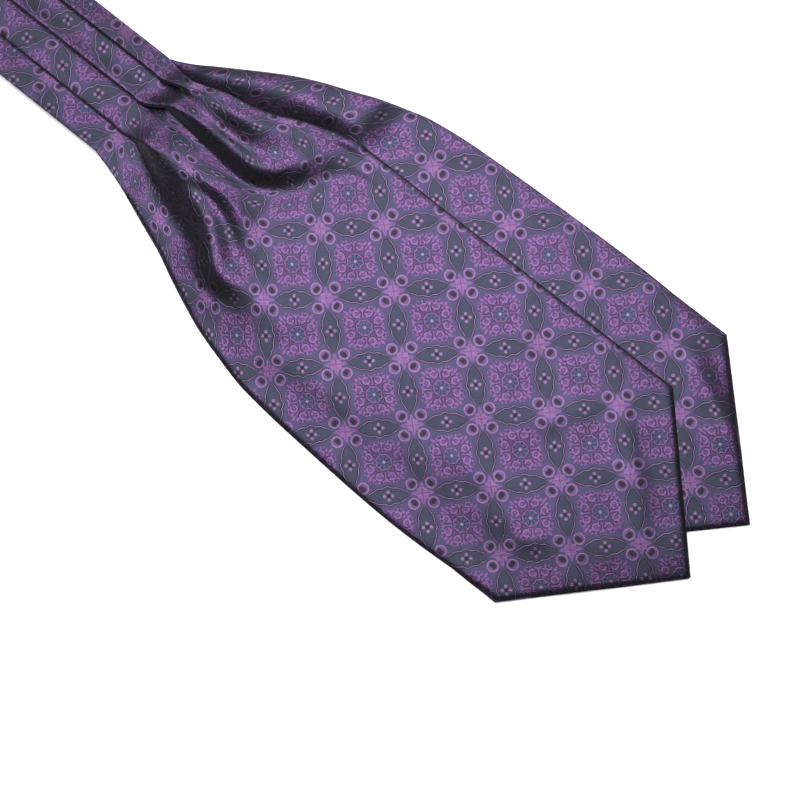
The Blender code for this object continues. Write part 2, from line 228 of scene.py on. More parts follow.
# Cloth is never ironed dead flat: height, length and width of the swells, and a place in the noise
uneven = {
    "front": (0.3, 19, 15, 0.7),
    "rear": (0.25, 21, 17, 3.1),
    "neckband": (0.35, 23, 14, 5.0),
}

neckband = {
    "width": 66.8,
    "strips": (17.8, 19.3, 17.6),  # width that shows, up to each pleat's edge
    "depths": (14.7, 14.7, 11.6),  # how far each strip runs on under the next
    "air": 0.8,  # between a pleat's layers
    "turn": 1.0,  # width of a pleat's turn
    "drop": 16.0,  # a strip comes down over this width beyond its pleat's root
    "hiddenStack": 4.4,  # height of the run underneath
    "bendCore": 0.2,  # radius that the fold at the centre back goes round
    "spans": (18, 20, 22, 16, 20, 16, 14),  # columns in each run, out and back
    "quarterTurn": 4,
    "rowStep": 3.5,
    "firstRows": (-0.5, -1.1),
    "foldSteps": 9,
    "looseOver": 12.0,  # unevenness starts over this length from both ends
    "sag": 0.2,  # and never dips further than this
    "layers": 3,  # layers that show at the edges underneath
    "groove": 0.9,
    "grooveShares": (0.0, 0.1, 0.22, 0.36, 0.5, 0.64, 0.78, 0.9),
    "grooveShape": 1.5,
    "underSteps": 8,
}

layer = cloth["wall"] + neckband["air"]
turnHeight = layer / 2
halfWidth = neckband["width"] / 2
topRun = neckband["hiddenStack"] + cloth["gap"] + 2 * neckband["bendCore"]

frontBlade = {
    "left": (
        (0, -33.4), (15, -37.2), (25, -40.5), (35, -44.1), (50, -49.9), (65, -55.5), (80, -62.6),
        (95, -69.1), (110, -74.9), (125, -79.2), (155, -85.7), (200, -89), (260, -91.1), (334.2, -87.3),
    ),
    "right": (
        (0, 33.4), (12, 31.6), (21, 31), (30, 33), (43, 37.2), (52, 39), (63, 41.4), (73, 45.2), (85, 51),
        (95, 55), (104, 58), (120, 61.8), (200, 61.6), (336.4, 61.4),
    ),
    "rim": (  # height of the right edge
        (12, 11), (25, 9.6), (45, 9), (62, 8.8), (75, 7.8), (88, 5.4), (100, 2.8), (112, 1), (125, 0.2),
        (150, 0),
    ),
    "length": cloth["bladeLength"],
    "tip": -13.0,  # where the point is, across
    "shoulders": (334.2, 336.4),  # where the straight sides end
    "opens": (1.0, 24.0),  # the pleats open, and rise to their free folds
    "rises": (7.0, 18.0),
    "foldsFrom": 12.0,
    "softened": 5.0,  # folds are averaged over this length
    "rowSteps": ((0.0, 160.0, 1.3), (160.0, 305.0, 3.0)),
    "tipRows": 22,
    "calmRounds": 4,  # of smoothing over the free folds
    "calmed": (25.0, 12.0),
    "calmShare": 0.6,
    "dressed": (25.0, 15.0),  # where turned edges, creases and unevenness begin
    "creasesInside": 12.0,  # and how far in from the edge they are full
    "unevenInside": 8.0,
    "dark": (60.0, 50.0),  # where the painted shade along the right edge begins
}

# Folds where the pleats open: along, across, height above what the cloth lies on
frontFolds = {
    "foot": (
        (12, -19, 0.3), (25, -20, 0.3), (38, -28, 0.3), (48, -34.5, 0.3), (64, -38, 0.3),
        (78, -44.3, 0.3), (87, -51, 0.3), (98, -54.6, 0.3), (112, -57, 0.2), (127, -58.7, 0.1),
        (150, -60, 0),
    ),
    "step": (
        (12, -15, 4), (25, -16.5, 5.2), (38, -19.5, 6), (48, -19.5, 7.2), (57, -18.5, 8.6), (65, -18, 9),
        (73, -20, 8.8), (81, -24, 8.2), (87, -28.4, 7.8), (92, -34, 7.3), (99, -41.5, 6.5),
        (107, -42.5, 5.6), (117, -39.5, 3.9), (125, -39, 2), (150, -42, 0),
    ),
    "dip": (
        (12, -13.8, 5.6), (25, -14.8, 7.4), (38, -15.5, 8.8), (48, -15.5, 10), (57, -15, 9.8),
        (63, -14.8, 8.4), (68, -14.6, 7), (81, -17.8, 4.6), (92, -24.5, 3), (100, -31, 2.2),
        (114, -32.5, 1.5), (130, -33.5, 0.6), (150, -36, 0),
    ),
    "firstCrest": (
        (12, -12, 7.6), (25, -12, 9.6), (41, -10, 10.4), (57, -9, 11), (65, -8.8, 10.8), (74, -8, 10.2),
        (83, -9.5, 8.6), (92, -12.5, 6.6), (105, -18, 3.6), (115, -22, 2.2), (130, -26, 0.9),
        (150, -30, 0),
    ),
    "back": (
        (12, -4.6, 6.6), (25, -4.4, 8), (43, -3.6, 8.8), (57, -3, 8.8), (67, -2.5, 8.4), (75, -2, 7.6),
        (85, -2, 5.9), (95, -3, 3.9), (105, -2, 2), (120, 5, 0.7), (150, 10, 0),
    ),
    "valley": (
        (12, 9.5, 2.5), (25, 9, 3), (40, 7.5, 3.8), (57, 5.2, 4.8), (67, 4.2, 4.7), (75, 3.8, 3.9),
        (82, 4.6, 2.8), (90, 7.4, 1.5), (98, 13, 0.9), (107, 22, 0.5), (113, 30, 0.3), (117, 36.5, 0.3),
        (121, 41.5, 0.3), (130, 46, 0.2), (150, 49, 0),
    ),
    "secondCrest": (
        (12, 12.4, 9.6), (25, 13.4, 10.8), (35, 15.2, 11.4), (43, 16, 11.5), (57, 16, 11.3),
        (67, 15.6, 11), (79, 15.4, 10), (86, 17.5, 9), (92, 22, 7.8), (96, 28, 6.8), (101, 34, 6),
        (105, 41, 5), (111, 46, 3.5), (120, 50.5, 1.8), (130, 51, 0.9), (150, 52, 0),
    ),
    "pocket": (
        (12, 24, 6), (25, 20.5, 10), (38, 20.5, 10.2), (48, 20.6, 9.2), (57, 20.6, 8.6), (66, 20.6, 8.2),
        (75, 21.8, 8.1), (84, 26, 7.9), (92, 31.5, 7), (98, 37, 6.1), (105, 45, 4.9), (111, 50, 3.5),
        (120, 53.5, 1.8), (130, 55, 0.8), (150, 56, 0),
    ),
    "thirdCrest": (
        (12, 26, 13.8), (25, 27, 12.4), (30, 28, 12.2), (37, 29.5, 12.4), (47, 31, 12.8), (55, 32, 13),
        (62, 33.5, 12.8), (72, 36.5, 12), (82, 41.5, 10), (90, 46.5, 8.2), (98, 51.5, 6.6),
        (111, 57, 3.8), (120, 58.5, 2), (130, 59, 1), (150, 60, 0),
    ),
}
pleatEdges = ("foot", "firstCrest", "valley", "secondCrest", "pocket", "thirdCrest")

rearBlade = {
    "left": ((0, -33.4), (20, -35.5), (60, -41.5), (120, -45), (341.4, -43.5)),
    "right": (
        (0, 33.4), (5, 35.6), (15, 40.7), (25, 46.6), (35, 52.4), (50, 61.2), (65, 69.4), (80, 76.1),
        (95, 81.7), (110, 87.7), (125, 93.2), (140, 97.2), (170, 100.2), (225, 102.1), (275, 102.9),
        (341.4, 100.7),
    ),
    "length": cloth["bladeLength"] + cloth["rearLead"],
    "tip": 29.1,
    "shoulders": (341.4, 341.4),
    "stackEnd": 62.0,  # the folded layers by the stitches end here
    "stackFades": 12.0,
    "stackSeen": 20.0,
    "face": 2.5,  # least width of the fold's two sides
    "back": 2.0,
    "shownOver": 10.0,  # turned edges and creases fade out under the front blade
    "dressed": (12.0, 20.0),
    "tipDressed": (330.0, 20.0),
    "rowSteps": ((0.15, 150.0, 2.0), (150.0, 305.0, 4.0)),
    "tipRows": 18,
    "spans": (42, 42),  # columns up to the fold's rise, and beyond it
}

# The fold that stands beside the front blade
rearFold = {
    "rise": (  # along, across
        (5, 30), (20, 27), (30, 28), (43, 32), (52, 34.5), (63, 37.5), (73, 41.5), (85, 47), (100, 53),
        (150, 56),
    ),
    "crest": (  # along, across, height
        (5, 35.5, 1), (15, 37.5, 4), (25, 40, 6.2), (40, 48, 7.4), (60, 58, 7.8), (80, 63.5, 7.8),
        (100, 68.5, 7.4), (107, 71, 7), (112, 72.5, 6), (119, 74, 3.2), (126, 76, 1), (133, 78, 0.2),
        (150, 80, 0),
    ),
    "rim": (  # along, height
        (5, 1), (15, 3.4), (25, 5), (60, 6.2), (100, 6.2), (107, 6), (112, 5.1), (119, 2.6), (126, 0.7),
        (133, 0), (150, 0),
    ),
}

# Soft creases and swells: from, to (along, across), half width, height
frontCreases = (
    ((118, -18), (172, 14), 7, 0.5), ((128, -40), (196, -10), 9, 0.5),
    ((140, -66), (214, -52), 10, 0.5), ((132, 30), (188, 40), 8, 0.4),
    ((205, -34), (292, 6), 15, 0.5), ((250, 30), (330, 14), 16, -0.4),
    ((280, -58), (352, -34), 13, 0.4), ((312, -2), (372, 22), 12, 0.3),
    ((182, 30), (214, 6), 7, 0.6), ((288, -2), (316, 32), 8, 0.7),
    ((146, -52), (160, -30), 7, 0.6), ((255, -42), (305, -40), 6, 0.6),
    ((322, -56), (334, -44), 5, 0.6), ((318, 38), (378, -14), 6, 0.9),
)
rearCreases = (
    ((136, 74), (196, 92), 6, 0.4), ((200, 92), (262, 76), 7, 0.3),
    ((286, 88), (330, 72), 6, 0.4), ((326, 84), (392, 52), 7, 1.9),
    ((268, 98), (338, 96), 4, 0.8),
)

for blade in (frontBlade, rearBlade):
    blade["edges"] = [smoothThrough(blade[side]) for side in ("left", "right")]
frontRim = smoothThrough(frontBlade["rim"])
foldLines = {name: lineOf(rows) for name, rows in frontFolds.items()}
rearRise = smoothThrough(rearFold["rise"])
rearCrest, rearCrestHeight = lineOf(rearFold["crest"])
rearRimHeight = smoothThrough(rearFold["rim"])


def edgesAt(blade, along):
    return [edge(along) for edge in blade["edges"]]


def tipEdge(blade, across, edges):
    # How far along the pointed end reaches at this place across
    side = int(across >= blade["tip"])
    share = (across - blade["tip"]) / (edges[side] - blade["tip"])
    return mix(blade["length"], blade["shoulders"][side], min(1.0, share))


def boxMiddle():
    # The frame's origin lies under the middle of the whole cravat
    left = min(across for _, across in frontBlade["left"])
    right = max(across for _, across in rearBlade["right"])
    return (rearBlade["length"] - cloth["foldReach"]) / 2, (left + right) / 2


middle = boxMiddle()


def placed(point):
    return Vector((point[0] - middle[0], point[1] - middle[1], point[2])) * 0.001


def creased(creases, along, across):
    # Height that the listed creases add here
    total = 0.0
    for (a0, y0), (a1, y1), width, height in creases:
        length = math.hypot(a1 - a0, y1 - y0)
        alongIt = ((along - a0) * (a1 - a0) + (across - y0) * (y1 - y0)) / length
        beside = ((across - y0) * (a1 - a0) - (along - a0) * (y1 - y0)) / length
        fade = 1.0
        for share in (alongIt / length, 1 - alongIt / length):
            fade *= ease(share / cloth["creaseFade"] + cloth["creaseStart"])
        total += height * fade * math.exp(-(beside / width) ** 2)
    return total


def ripple(piece, along, across):
    height, length, width, place = uneven[piece]
    return height * noise.noise(Vector((along / length, across / width, place)))


def rolled(inside):
    # A turned edge stands proud by its folded layers and rounds down to the table
    t = min(max(inside / cloth["rollWidth"], 0.0), 1.0)
    return cloth["rollHeight"] * math.sqrt(1 - (1 - t) ** 2)


def edgeDistance(blade, along, across):
    # The point's two edges slope at 45 degrees
    left, right = edgesAt(blade, along)
    tipward = (tipEdge(blade, across, (left, right)) - along) / math.sqrt(2)
    return min(across - left, right - across, tipward)


# The pleats' section, as one line of cloth from edge to edge


stripEdges = [sum(neckband["strips"][:k]) - halfWidth for k in range(len(neckband["strips"]) + 1)]


def pleatedStrip(number, across):
    # Height of the middle of a strip's cloth, stacked on the pleats before it
    height = cloth["wall"] / 2
    for k in range(number):
        root = stripEdges[k + 1] + neckband["depths"][k]
        height += 2 * layer
        if across > root:
            height = mix(height, cloth["wall"] / 2, ease((across - root) / neckband["drop"]))
    return height


def pleatedSection():
    points = []
    spans = neckband["spans"]
    quarter = neckband["quarterTurn"]
    reach = neckband["turn"]
    start = -halfWidth
    for k, span in enumerate(spans):
        strip = k // 2
        goingBack = k % 2 == 1
        last = k == len(spans) - 1
        stop = halfWidth if last else stripEdges[strip + 1]
        if not last and not goingBack:
            stop += neckband["depths"][strip]
        lift = layer if goingBack else 0.0
        sign = -1 if goingBack else 1
        firstTurn = quarter if k else 0
        lastTurn = 0 if last else quarter
        a = start + sign * reach if k else start
        b = stop if last else stop - sign * reach
        for i in range(1 if k else 0, span + 1):
            # How far into the turn before this run, or into the one after it
            turned = min(i - firstTurn, 0) + max(i - span + lastTurn, 0)
            angle = math.pi / 2 * turned / quarter
            y = mix(a, b, min(max(i - firstTurn, 0) / (span - firstTurn - lastTurn), 1.0))
            z = pleatedStrip(strip, y) + lift
            z += math.copysign(turnHeight * (1 - math.cos(angle)), angle)
            points.append((y + sign * reach * math.sin(angle), z))
        start = stop
    return points


def pleatedTop(across):
    strip = max(k for k, edge in enumerate(stripEdges) if edge <= across + cloth["gap"])
    return pleatedStrip(strip, across) + cloth["wall"] / 2


section = pleatedSection()

# Rear blade


def rearLift(along):
    rise = rearRise(along)
    crest = max(rearCrest(along), rise + rearBlade["face"])
    rim = max(edgesAt(rearBlade, along)[1], crest + rearBlade["back"])
    return smoothThrough(((rise, 0.0), (crest, rearCrestHeight(along)),
                          (rim, rearRimHeight(along))))


def rearThickness(along, across):
    stack = 1 - ease(along / rearBlade["stackEnd"])
    seen = ease((across - rearRise(along)) / rearBlade["stackFades"] + 1)
    seen *= ease(along / rearBlade["stackSeen"])
    return mix(cloth["wall"], neckband["hiddenStack"], stack * (1 - seen))


def columnsAt(along, anchors, spans):
    # Columns follow the folds' lines, and even out where the cloth lies flat
    followed = anchors[:1]
    for k, span in enumerate(spans):
        followed += [mix(anchors[k], anchors[k + 1], i / span) for i in range(1, span + 1)]
    even = begun(along, cloth["even"])
    return [mix(y, mix(anchors[0], anchors[-1], i / sum(spans)), even)
            for i, y in enumerate(followed)]


def rearColumns(along):
    left, right = edgesAt(rearBlade, along)
    return columnsAt(along, [left, rearRise(along), right], rearBlade["spans"])


def alongsOf(blade):
    rows = []
    for first, last, step in blade["rowSteps"]:
        count = max(1, round((last - first) / step))
        rows += [mix(first, last, i / count) for i in range(count)]
    return rows + [last]


def tipRows(blade):
    # Rows from the last straight one to the point, closer together near the edge
    base = blade["rowSteps"][-1][1]
    edges = edgesAt(blade, base)
    count = blade["tipRows"]
    for k in range(1, count + 1):
        share = 1 - (1 - k / count) ** cloth["tipCrowding"]
        yield lambda across, share=share: mix(base, tipEdge(blade, across, edges), share)


def rearDressing(along, across):
    # Turned edges, creases and unevenness of the rear blade's upper side
    inside = edgeDistance(rearBlade, along, across)
    over = rearBlade["shownOver"]
    bare = ease((across - rearRise(along) + over) / over)
    bare *= begun(along, rearBlade["dressed"])
    puff = rolled(inside) + creased(rearCreases, along, across)
    puff *= max(bare, begun(along, rearBlade["tipDressed"]))
    return max(puff + ripple("rear", along, across) * bare, 0.0)


def rearSurfaces():
    rows = [[(along, y) for y in rearColumns(along)] for along in alongsOf(rearBlade)]
    lastPlaces = [y for _, y in rows[-1]]
    rows += [[(place(y), y) for y in lastPlaces] for place in tipRows(rearBlade)]
    tops = []
    bottoms = []
    for row in rows:
        lift = rearLift(row[0][0])
        bottoms.append([(along, y, lift(y)) for along, y in row])
        tops.append([(along, y, low + rearThickness(along, y) + rearDressing(along, y))
                     for along, y, low in bottoms[-1]])
    return tops, bottoms


def supportAt(along):
    # What the front blade's cloth lies on: the rear blade, or the table beside it
    left, right = edgesAt(rearBlade, along)
    lift = rearLift(along)

    def level(across):
        y = min(max(across, left), right)
        top = lift(y) + rearThickness(along, y) + cloth["gap"]
        beyond = (along - tipEdge(rearBlade, across, (left, right))) / math.sqrt(2)
        return top * (1 - begun(max(left - across, beyond), cloth["drape"]))
    return level


# Front blade


def foldsAt(along):
    left, right = edgesAt(frontBlade, along)
    folds = [(place(along), height(along)) for place, height in foldLines.values()]
    return smoothThrough([(left, 0.0), *folds, (right, frontRim(along))])


def softFoldsAt(along):
    step = frontBlade["softened"]
    nearby = (max(along - step, frontBlade["foldsFrom"]), along, along + step)
    first, second, third = map(foldsAt, nearby)
    return lambda across: (first(across) + 2 * second(across) + third(across)) / 4


def frontColumns(along):
    left, right = edgesAt(frontBlade, along)
    anchors = [left, *(foldLines[name][0](along) for name in pleatEdges), right]
    return columnsAt(along, anchors, neckband["spans"])


def frontRow(along):
    # From the stacked pleats at the stitches to the free folds
    opened, raised = (begun(along, frontBlade[name]) for name in ("opens", "rises"))
    at = max(along, frontBlade["foldsFrom"])
    free = frontColumns(at)
    folds = softFoldsAt(at)
    support = supportAt(along)
    across = [mix(y0, y1, opened) for (y0, _), y1 in zip(section, free)]
    first = across[0]
    width = across[-1] - first
    left, right = edgesAt(frontBlade, along)
    row = []
    for (_, z0), y1, y in zip(section, free, across):
        y += mix(left - first, right - first - width, (y - first) / width)
        z1 = support(y) + cloth["wall"] / 2 + folds(y1)
        row.append((along, y, mix(z0 + topRun, z1, raised)))
    return row


def frontRows():
    rows = [frontRow(along) for along in alongsOf(frontBlade)]
    flat = [y for _, y, _ in rows[-1]]
    for place in tipRows(frontBlade):
        rows.append([(place(y), y, supportAt(place(y))(y) + cloth["wall"] / 2) for y in flat])
    return rows


def calmed(rows):
    # The free folds' heights drawn towards their neighbours', which takes out small ripples
    for _ in range(frontBlade["calmRounds"]):
        before = [[p[2] for p in row] for row in rows]
        for r in range(1, len(rows) - 1):
            weight = frontBlade["calmShare"] * begun(rows[r][0][0], frontBlade["calmed"])
            for c in range(1, len(rows[r]) - 1):
                near = (before[r - 1][c] + before[r + 1][c] + before[r][c - 1] + before[r][c + 1]) / 4
                along, across, height = rows[r][c]
                rows[r][c] = (along, across, mix(height, near, weight))
    return rows


def dressed(rows):
    # Rolled edges, listed creases and a slight unevenness on the front blade
    for row in rows:
        for c, (along, across, height) in enumerate(row):
            free = begun(along, frontBlade["dressed"])
            inside = edgeDistance(frontBlade, along, across)
            creasing = max(0.0, min(1.0, inside / frontBlade["creasesInside"]))
            lift = rolled(inside) + creasing * creased(frontCreases, along, across)
            lift += ripple("front", along, across) * min(1.0, inside / frontBlade["unevenInside"])
            row[c] = (along, across, height + free * lift)
    return rows


# Cloth coordinates: how far along and across the flat cut each place is


def runs(row):
    total = [0.0]
    for (_, y0, z0), (_, y1, z1) in zip(row, row[1:]):
        total.append(total[-1] + math.hypot(y1 - y0, z1 - z0))
    return total


def clothPlaces(rows, keepRight):
    # Along each column by its own length back from the flat part, across each row by its length
    start = min(range(len(rows)), key=lambda r: abs(rows[r][0][0] - cloth["flatFrom"]))
    flatLeft, flatRight = (rows[start][i][1] for i in (0, -1))
    acrosses = []
    for row in rows[:start]:
        total = runs(row)
        if keepRight:
            acrosses.append([flatRight - total[-1] + t for t in total])
        else:
            acrosses.append([flatLeft + t / total[-1] * (flatRight - flatLeft) for t in total])
    acrosses += [[y for _, y, _ in row] for row in rows[start:]]
    alongs = [[along for along, _, _ in row] for row in rows]
    for r in range(start - 1, -1, -1):
        for c, point in enumerate(rows[r]):
            alongs[r][c] = alongs[r + 1][c] - math.dist(rows[r + 1][c], point)
    return [list(zip(a, b)) for a, b in zip(alongs, acrosses)]


figure = {
    "halfAlong": 27.26,  # half of the woven square's diagonal, along and across
    "halfAcross": 25.8,
    "turn": 0.5,  # degrees
    "frontNode": (211.7, -16.6),
    "rearNode": (212.4, -26.0),
}


def figureUv(place, node):
    # The woven square stands on its corner, because the cravat is cut on the bias
    turn = math.radians(figure["turn"])
    da = place[0] - node[0]
    dy = place[1] - node[1]
    along = (da * math.cos(turn) + dy * math.sin(turn)) / figure["halfAlong"]
    across = (dy * math.cos(turn) - da * math.sin(turn)) / figure["halfAcross"]
    return (along + across) / 2, (along - across) / 2


def clothGrid(rows, places, node):
    # A flat grid whose points are moved to the rows given, each keeping its row and column
    uvs = [[figureUv(place, node) for place in row] for row in places]
    bm = bmesh.new()
    rowOf = bm.verts.layers.int.new("row")
    columnOf = bm.verts.layers.int.new("column")
    uvLayer = bm.loops.layers.uv.new("cloth")
    lastRow = len(rows) - 1
    lastColumn = len(rows[0]) - 1
    made = bmesh.ops.create_grid(bm, x_segments=lastRow, y_segments=lastColumn, size=1.0)
    for vert in made["verts"]:
        vert[rowOf] = round((vert.co.x + 1) / 2 * lastRow)
        vert[columnOf] = round((vert.co.y + 1) / 2 * lastColumn)
        vert.co = placed(rows[vert[rowOf]][vert[columnOf]])
    for face in bm.faces:
        for loop in face.loops:
            loop[uvLayer].uv = uvs[loop.vert[rowOf]][loop.vert[columnOf]]
    return bm


def finished(name, bm, material, sharp=50):
    piece = meshObject(name, bm, material)
    piece.data.shade_smooth()
    piece.data.set_sharp_from_angle(angle=math.radians(sharp))
    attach(piece, "root")
    return piece


def thicken(piece):
    # Cloth of even thickness, with its turned edges rounded
    wall = piece.modifiers.new("wall", 'SOLIDIFY')
    wall.thickness = cloth["wall"] * 0.001
    wall.offset = 0.0
    rounding = piece.modifiers.new("rounding", 'BEVEL')
    rounding.width = cloth["rounding"] * 0.001
    rounding.segments = 3
    rounding.limit_method = 'ANGLE'
    rounding.angle_limit = math.radians(60)


# Figured silk

silk = {
    "ground": (0.016, 0.015, 0.037),
    "groundWarm": (0.0205, 0.0128, 0.04),
    "oval": (0.013, 0.0145, 0.028),
    "outline": (0.0035, 0.0025, 0.006),
    "petal": (0.013, 0.0205, 0.045),
    "figure": (0.074, 0.03, 0.093),
    "pale": (0.108, 0.059, 0.125),
    "core": (0.065, 0.012, 0.048),
    "finish": {"Metallic": 0.93, "Coat Weight": 0.15, "Coat Roughness": 0.55,
               "Sheen Weight": 0.06, "Sheen Roughness": 0.6},
    "roughness": (0.365, -0.05, 0.05),  # of the ground, and what the figure and the ovals add
    "bump": {"Strength": 0.4, "Distance": 0.00013},
    "slub": (5.0, 6.0, 0.65),  # the noise's scale, detail and roughness
    "slubTone": (0.7, 0.65),  # its share of the tone, and the rest
    "threadTone": 0.24,
    # Painted shade: how far the front blade's edge mask darkens the colour
    "edgeShadeTone": -0.85,
}

# The woven figure's sizes, as shares of its repeat
weave = {
    "edgeBlur": 0.008,
    "bandBlur": 0.006,
    "fineBlur": 0.005,
    "waver": 0.011,
    "waverNoise": (17.0, 2.0),  # scale and detail
    "groundRibs": 62.0,
    "slantRibs": 24.8,
    "ovalRibs": 38.0,
    "wefts": (44.0, 0.15, 0.85),  # count, share in the figure's strength, and the rest
    "specks": (44.0, 1.0, 2.4, -0.28),  # scale and detail, contrast and level
    "axisPetal": (0.182, 0.034),  # length and half width
    "cornerPetal": (0.118, 0.04),
    "petalEdge": -0.002,
    "veins": (0.003, 0.005, 0.007, 0.41),
    "veinRing": (0.064, 0.04, 0.01),  # the veins keep within this ring round the star's middle
    "starEye": (0.02, 0.006),  # an eye or heart has a radius and a blur
    "bud": (0.144, 0.088, 0.01),  # place on both sides of the diagonal, radius, rim
    "budHeart": (0.135, 0.036, 0.35, 0.01),
    "oval": (0.306, 0.124, 0.0055),  # half length, half width, line
    "ovalEnds": 0.58,  # under 1 the ends are blunter
    "ovalWave": (42.0, 0.007),
    "ovalLobe": (0.055, 0.012),  # half length and height of the bulge at mid side
    "ovalLines": (-0.002, -0.014, 0.012),
    "ovalCloth": -0.008,
    "ovalClear": 0.016,  # the medallion keeps this far off
    "flower": (0.058, 0.024, 0.008),
    "flowerHeart": (0.026, 0.009),
    "rosetteRing": (0.115, 0.009),
    "rosetteHeart": (0.024, 0.009),
    "spoke": 0.006,
    "scallop": (8.0, 0.006, 0.024),
    "ringShade": (0.018, 0.006),  # how far outside its line, and half its width
    "curl": ((0.09, 0.214), 0.047, 0.016),
    "curlOpening": (-0.045, 0.02, 0.022),
    "curlEye": (0.006, -0.004, 0.012, 0.007),
    "curlShade": (0.025, 0.006),
    "stem": (0.007, 0.195, 0.055),
    "leafBlur": 0.01,
    "hook": ((0.058, 0.155), (0.034, 0.011), 50),  # a leaf's middle, half sizes and turn
    "leaves": (((0.0, 0.262), (0.042, 0.026), 90), ((0.036, 0.28), (0.036, 0.016), 35),
               ((0.104, 0.294), (0.032, 0.017), 60), ((0.162, 0.245), (0.036, 0.018), 45),
               ((0.156, 0.302), (0.028, 0.013), 15)),
    "sprig": 0.335,  # the fleuron stands here on the diagonal
    "fleuron": (((0.0, 0.0), (0.06, 0.025), 45), ((-0.052, 0.02), (0.044, 0.018), 78),
                ((-0.054, -0.054), (0.034, 0.018), 45)),
    "warm": (0.285, 0.05),
    "tendrils": (13.0, 0.0, 0.014, 0.012),
    "tendrilsClear": 0.03,
    "budClear": 0.004,
    "starPale": 0.1,  # its middle is paler out to here
}

# How strongly each motif shows in its colour, and what the cloth's relief is made of
shown = {
    "budBody": 0.45, "curlEye": 0.8, "leaves": 0.9, "tendrils": 0.35, "star": 0.8, "specks": 0.05,
    "ovalLine": 0.8, "budRim": 0.35, "heart": 0.9, "flower": 0.5, "starPale": 0.15,
    "ringShade": 0.7, "curlShade": 0.7, "veins": 0.6, "coreVeins": 0.35,
    "ovalThreads": (0.7, 0.3), "threads": (0.6, 0.4), "threadRelief": 0.25, "outlineRelief": 0.6,
}


def operator(operation):
    return lambda *wires: maths(operation, *wires)


class Wire:
    # A value in a node tree, on which arithmetic adds Math nodes, and | takes the larger of two.
    # A mask is 1 inside its shape and 0 outside it.
    def __init__(self, socket):
        self.socket = socket

    __add__ = operator('ADD')
    __sub__ = operator('SUBTRACT')
    __mul__ = operator('MULTIPLY')
    __truediv__ = operator('DIVIDE')
    __pow__ = operator('POWER')
    __or__ = operator('MAXIMUM')
    __abs__ = operator('ABSOLUTE')

    def __rsub__(self, other):
        return maths('SUBTRACT', other, self)

    def within(self, limit, blur=weave["edgeBlur"]):
        node = newNode(self.socket.id_data, "MapRange",
                       {"Value": self, "From Min": limit - blur, "From Max": limit + blur,
                        "To Min": 1.0, "To Max": 0.0}, interpolation_type='SMOOTHSTEP')
        return Wire(node.outputs["Result"])

    def band(self, middle, half, blur=weave["bandBlur"]):
        return abs(self - middle).within(half, blur)

    def without(self, other):
        return self * (1.0 - other)


def maths(operation, *inputs):
    tree = next(given.socket.id_data for given in inputs if isinstance(given, Wire))
    return Wire(newNode(tree, "Math", dict(enumerate(inputs)), operation=operation).outputs[0])


def noiseOver(places, scale, detail, roughness=0.5, output="Fac"):
    sockets = {"Vector": places, "Scale": scale, "Detail": detail, "Roughness": roughness}
    return Wire(newNode(places.id_data, "TexNoise", sockets).outputs[output])


def away(x, y, cx=0.0, cy=0.0):
    return maths('SQRT', (x - cx) ** 2.0 + (y - cy) ** 2.0)


def petal(along, beside, length, half):
    # A leaf shape from 0 to its length
    swell = maths('SINE', along * (math.pi / length))
    return ((beside - swell * half).within(weave["petalEdge"], weave["fineBlur"])
            * along.within(length) * (along * -1.0).within(0.0))


def leaf(x, y, middle, half, turn):
    # A small lozenge whose long axis is turned from the x axis
    dx, dy = x - middle[0], y - middle[1]
    c, s = math.cos(math.radians(turn)), math.sin(math.radians(turn))
    along = dx * c + dy * s
    beside = dy * c - dx * s
    return (abs(along) + abs(beside) * (half[0] / half[1])).within(half[0], weave["leafBlur"])


def ribs(place, count):
    return maths('SINE', place * (count * 2 * math.pi))


